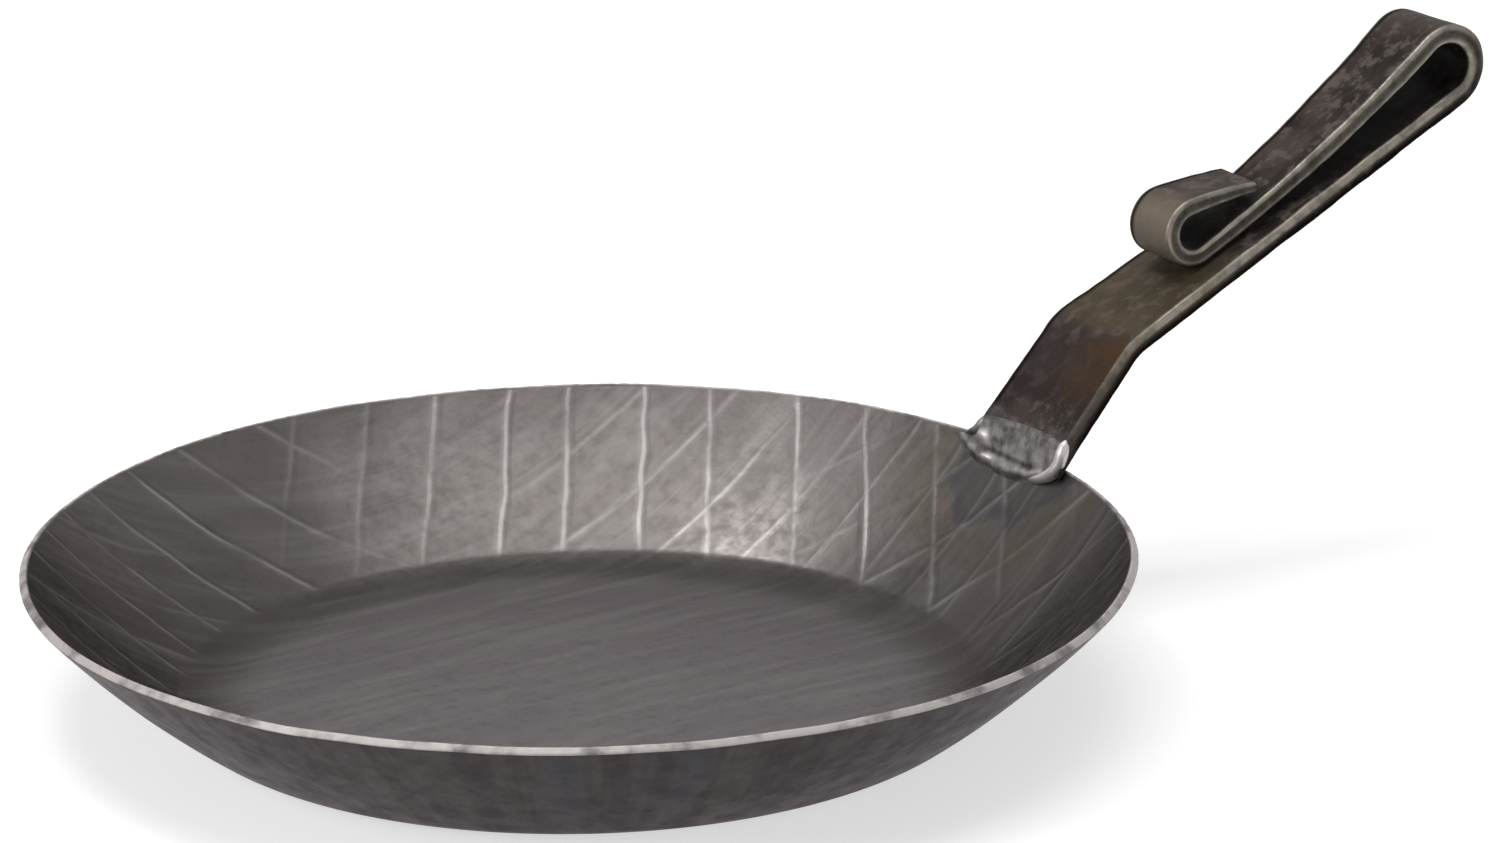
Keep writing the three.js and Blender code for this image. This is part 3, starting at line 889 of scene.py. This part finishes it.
def forged_scale():
    """Bar: brown-black forge scale, mottled and streaked along the bar, worn to grey metal on its edges,
    near black with painted shade where it is hidden from the light and with a painted dark reflection
    along its far edge. The scroll's belly is paler, the end next to the weld is dull grey, and heat has
    tinted the neck violet, amber and olive."""
    material, tree, shader, place = finish("forged_scale")
    run = mark(tree, "run")
    patches = grain(tree, place, 60.0, 4.0, 0.6)
    spots = grain(tree, place, 260.0, 4.0, 0.65)
    fine = grain(tree, place, 1800.0, 2.0)
    split = knot(tree, "ShaderNodeSeparateXYZ", {"Vector": place})

    flow = knot(tree, "ShaderNodeCombineXYZ", {
        "X": times(tree, run, 0.06),
        "Y": times(tree, split.outputs["Y"], 420.0),
    }).outputs[0]
    streaks = grain(tree, flow, 1.0, 4.0, 0.6)

    colour = tint(tree, span(tree, patches, 0.38, 0.62), grey(0.01, 0.42), grey(0.032, 0.34))
    colour = tint(tree, span(tree, spots, 0.48, 0.64, 0.0, 0.75), colour, grey(0.078, 0.26))
    colour = tint(tree, span(tree, streaks, 0.52, 0.75, 0.0, 0.35), colour, grey(0.09, 0.24))

    drift = sums(tree, "ADD", run, span(tree, grain(tree, place, 55.0, 2.0, 0.4), 0.25, 0.75, -8.0, 8.0))
    violet = belt(tree, drift, (10.0, 16.0), (26.0, 36.0))
    amber = belt(tree, drift, (13.0, 24.0), (26.0, 38.0))
    amber = times(tree, amber, span(tree, split.outputs["Y"], 0.007, -0.012))
    olive = belt(tree, drift, (32.0, 40.0), (55.0, 70.0))
    colour = tint(tree, times(tree, violet, 0.7), colour, (0.02, 0.0125, 0.013, 1.0))
    colour = tint(tree, times(tree, amber, 0.75), colour, (0.052, 0.027, 0.009, 1.0))
    colour = tint(tree, times(tree, olive, 0.45), colour, (0.076, 0.058, 0.028, 1.0))

    colour = tint(tree, times(tree, mark(tree, "belly"), 0.75), colour, (0.19, 0.157, 0.12, 1.0))
    # Painted shade and painted dark reflection: near black, and with a lower specular level further down.
    painted_shade = mark(tree, "painted_shade")
    colour = tint(tree, times(tree, painted_shade, 0.9), colour, grey(0.003, 0.3))

    chip = span(tree, grain(tree, place, 240.0, 4.0, 0.65), 0.32, 0.6, 0.55, 1.0)
    worn = times(tree, mark(tree, "worn"), chip, True)
    colour = tint(tree, worn, colour, (0.29, 0.265, 0.225, 1.0))
    fringe = sums(tree, "ADD", run, span(tree, patches, 0.3, 0.7, -2.0, 2.0))
    colour = tint(tree, span(tree, fringe, 6.0, 10.0, 0.6, 0.0), colour, grey(0.07, 0.12))

    rough = sums(tree, "SUBTRACT", span(tree, spots, 0.3, 0.7, 0.42, 0.58), times(tree, worn, 0.08))
    height = sums(tree, "ADD", times(tree, spots, 0.8), times(tree, fine, 0.2))
    normal = bumps(tree, 0.4, 0.0003, height)
    lay(tree, shader, colour, rough, normal)
    tree.links.new(times(tree, worn, 0.85), shader.inputs["Metallic"])
    tree.links.new(span(tree, painted_shade, 0.0, 1.0, 0.09, 0.02), shader.inputs["Specular IOR Level"])
    return material


def weld_metal():
    """Weld: grey metal with dull scale between, lighter and smoother where its bright mark is high. That
    mark is partly the metal's own tone, partly painted highlight on the lip, the blobs and the near bead,
    and painted shade in the groove.
    """
    material, tree, shader, place = finish("weld_metal")
    patches = grain(tree, place, 240.0, 4.0, 0.6)
    fine = grain(tree, place, 1300.0, 3.0, 0.6)
    uneven = span(tree, patches, 0.35, 0.65, -0.15, 0.12)
    shine = sums(tree, "ADD", uneven, mark(tree, "bright"), True)
    colour = tint(tree, shine, grey(0.065, 0.1), grey(0.62, 0.06))
    rough = span(tree, shine, 0.0, 1.0, 0.5, 0.42)
    height = sums(tree, "ADD", times(tree, patches, 0.6), times(tree, fine, 0.1))
    normal = bumps(tree, 0.25, 0.0003, height)
    lay(tree, shader, colour, rough, normal)
    shader.inputs["Metallic"].default_value = 0.65
    return material


# Room

FLOOR_REACH = 9000.0
FLOOR_DROP = 0.05
FLOOR_GREY = 0.55
FLOOR_GLOW = 0.62
ROOM_LIGHT = 0.25


def aim(where, target):
    """Matrix of a lamp at a place that points at a target."""
    look = (Vector(target) - Vector(where)).to_track_quat("-Z", "Y")
    return Matrix.Translation(where) @ look.to_matrix().to_4x4()


def softbox(name, where, target, width, height, power):
    """A rectangular lamp at a place that points at a target, with sizes in metres and power in watts."""
    data = bpy.data.lights.new(name, "AREA")
    data.shape = "RECTANGLE"
    data.size = width
    data.size_y = height
    data.energy = power
    lamp = bpy.data.objects.new(name, data)
    lamp.matrix_world = aim(where, target)
    bpy.context.scene.collection.objects.link(lamp)


def seen(tree):
    """1 for rays from the camera and for those seen in gloss or through glass."""
    path = knot(tree, "ShaderNodeLightPath", {})
    gloss = sums(tree, "MAXIMUM", path.outputs["Is Glossy Ray"], path.outputs["Is Transmission Ray"])
    return sums(tree, "MAXIMUM", path.outputs["Is Camera Ray"], gloss)


def studio_room():
    """World that lights the pan evenly and weakly. The eye and gloss also see a white band in it, dim
    at the horizon, brightest a third of the way up and gone overhead."""
    world = bpy.data.worlds.new("studio_room")
    world.use_nodes = True
    tree = world.node_tree
    look = knot(tree, "ShaderNodeTexCoord", {}).outputs["Generated"]
    height = knot(tree, "ShaderNodeSeparateXYZ", {"Vector": look}).outputs["Z"]
    band = times(tree, span(tree, height, 0.0, 0.3, 0.2, 0.75), span(tree, height, 0.35, 0.7, 1.0, 0.0))
    shown = times(tree, seen(tree), band)
    background = tree.nodes["Background"]
    tree.links.new(sums(tree, "ADD", shown, ROOM_LIGHT), background.inputs["Strength"])
    background.inputs["Color"].default_value = grey(1.0)
    bpy.context.scene.world = world


def pale_floor():
    """Large flat floor, pale, that takes the pan's shadow and adds a little white to the eye."""
    across = np.linspace(-FLOOR_REACH, FLOOR_REACH, 3)
    x, y = np.meshgrid(across, across)
    points = np.stack([x, y, np.full_like(x, -FLOOR_DROP)], -1).reshape(-1, 3)
    floor = piece("floor", points, grid_quads(3, 3, False), NO_TRIANGLES, {})
    material, tree, shader = finish("pale_floor")[:3]
    shader.inputs["Base Color"].default_value = grey(FLOOR_GREY)
    shader.inputs["Roughness"].default_value = 0.9
    shader.inputs["Specular IOR Level"].default_value = 0.0
    shader.inputs["Emission Color"].default_value = grey(1.0)
    tree.links.new(times(tree, seen(tree), FLOOR_GLOW), shader.inputs["Emission Strength"])
    floor.data.materials.append(material)


def camera():
    """Long lens at the photograph's place: it looks along a line VIEW_RIGHT and VIEW_UP beside the
    origin, turned by VIEW_TURN, tilted down by VIEW_TILT and rolled by VIEW_ROLL."""
    turn, tilt = VIEW_TURN, VIEW_TILT
    right = Vector((math.cos(turn), -math.sin(turn), 0.0))
    ahead = Vector((math.sin(turn) * math.cos(tilt), math.cos(turn) * math.cos(tilt), -math.sin(tilt)))
    up = right.cross(ahead)
    where = (right * VIEW_RIGHT + up * VIEW_UP - ahead * VIEW_DISTANCE) * MM
    across = right * math.cos(VIEW_ROLL) - up * math.sin(VIEW_ROLL)
    above = right * math.sin(VIEW_ROLL) + up * math.cos(VIEW_ROLL)
    data = bpy.data.cameras.new("photo_view")
    data.lens = LENS
    data.sensor_width = SENSOR
    data.sensor_fit = "HORIZONTAL"
    data.clip_end = 50.0
    made = bpy.data.objects.new("photo_view", data)
    made.matrix_world = Matrix.Translation(where) @ Matrix((across, above, -ahead)).transposed().to_4x4()
    bpy.context.scene.collection.objects.link(made)
    bpy.context.scene.camera = made


def view_place(right, ahead, up):
    """A place in metres, given along the photograph's own right, forward and up."""
    cos, sin = math.cos(VIEW_TURN), math.sin(VIEW_TURN)
    return (right * cos + ahead * sin, -right * sin + ahead * cos, up)


def lights():
    """One large softbox overhead with a small hot lamp beside it, a weak strip at each side, and two
    boxes from the front, of which the left one is the stronger."""
    softbox("top_box", view_place(0.02, 0.03, 1.15), view_place(0.02, 0.03, 0.0), 1.16, 0.82, 8.0)
    softbox("hot_lamp", view_place(-0.4, 0.2, 1.08), view_place(0.0, 0.1, 0.0), 0.24, 0.24, 2.4)
    softbox("left_strip", view_place(-0.95, 0.3, 1.05), view_place(0.0, 0.0, 0.0), 0.8, 0.5, 0.4)
    softbox("right_strip", view_place(0.95, 0.3, 1.05), view_place(0.0, 0.0, 0.0), 0.8, 0.5, 0.6)
    softbox("left_box", view_place(-1.3, -0.6, 0.8), (0.0, 0.0, 0.03), 0.5, 0.7, 10.5)
    softbox("right_box", view_place(1.1, -1.1, 1.0), (0.1, 0.0, 0.06), 0.6, 0.6, 2.2)


def dress(made, node, material):
    """Gives a piece its finish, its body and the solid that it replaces."""
    made.data.materials.append(material)
    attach(made, "root")
    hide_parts(node)


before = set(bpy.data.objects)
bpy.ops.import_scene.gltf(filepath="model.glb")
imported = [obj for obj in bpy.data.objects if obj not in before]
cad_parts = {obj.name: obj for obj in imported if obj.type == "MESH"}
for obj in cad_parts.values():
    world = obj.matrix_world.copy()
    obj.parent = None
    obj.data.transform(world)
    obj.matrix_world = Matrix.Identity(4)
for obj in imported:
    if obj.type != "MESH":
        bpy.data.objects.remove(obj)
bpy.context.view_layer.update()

bpy.context.scene.view_settings.view_transform = "Standard"
camera()
studio_room()
pale_floor()
lights()

weld = weld_metal()
dress(pan_inside(), "pan_body", scored_iron())
dress(pan_outside(), "pan_body", outer_iron())
dress(handle_bar(), "handle_bar", forged_scale())
dress(weld_toe(), "weld_toe_run", weld)
dress(weld_left(), "weld_left_run", weld)
dress(weld_right(), "weld_right_run", weld)
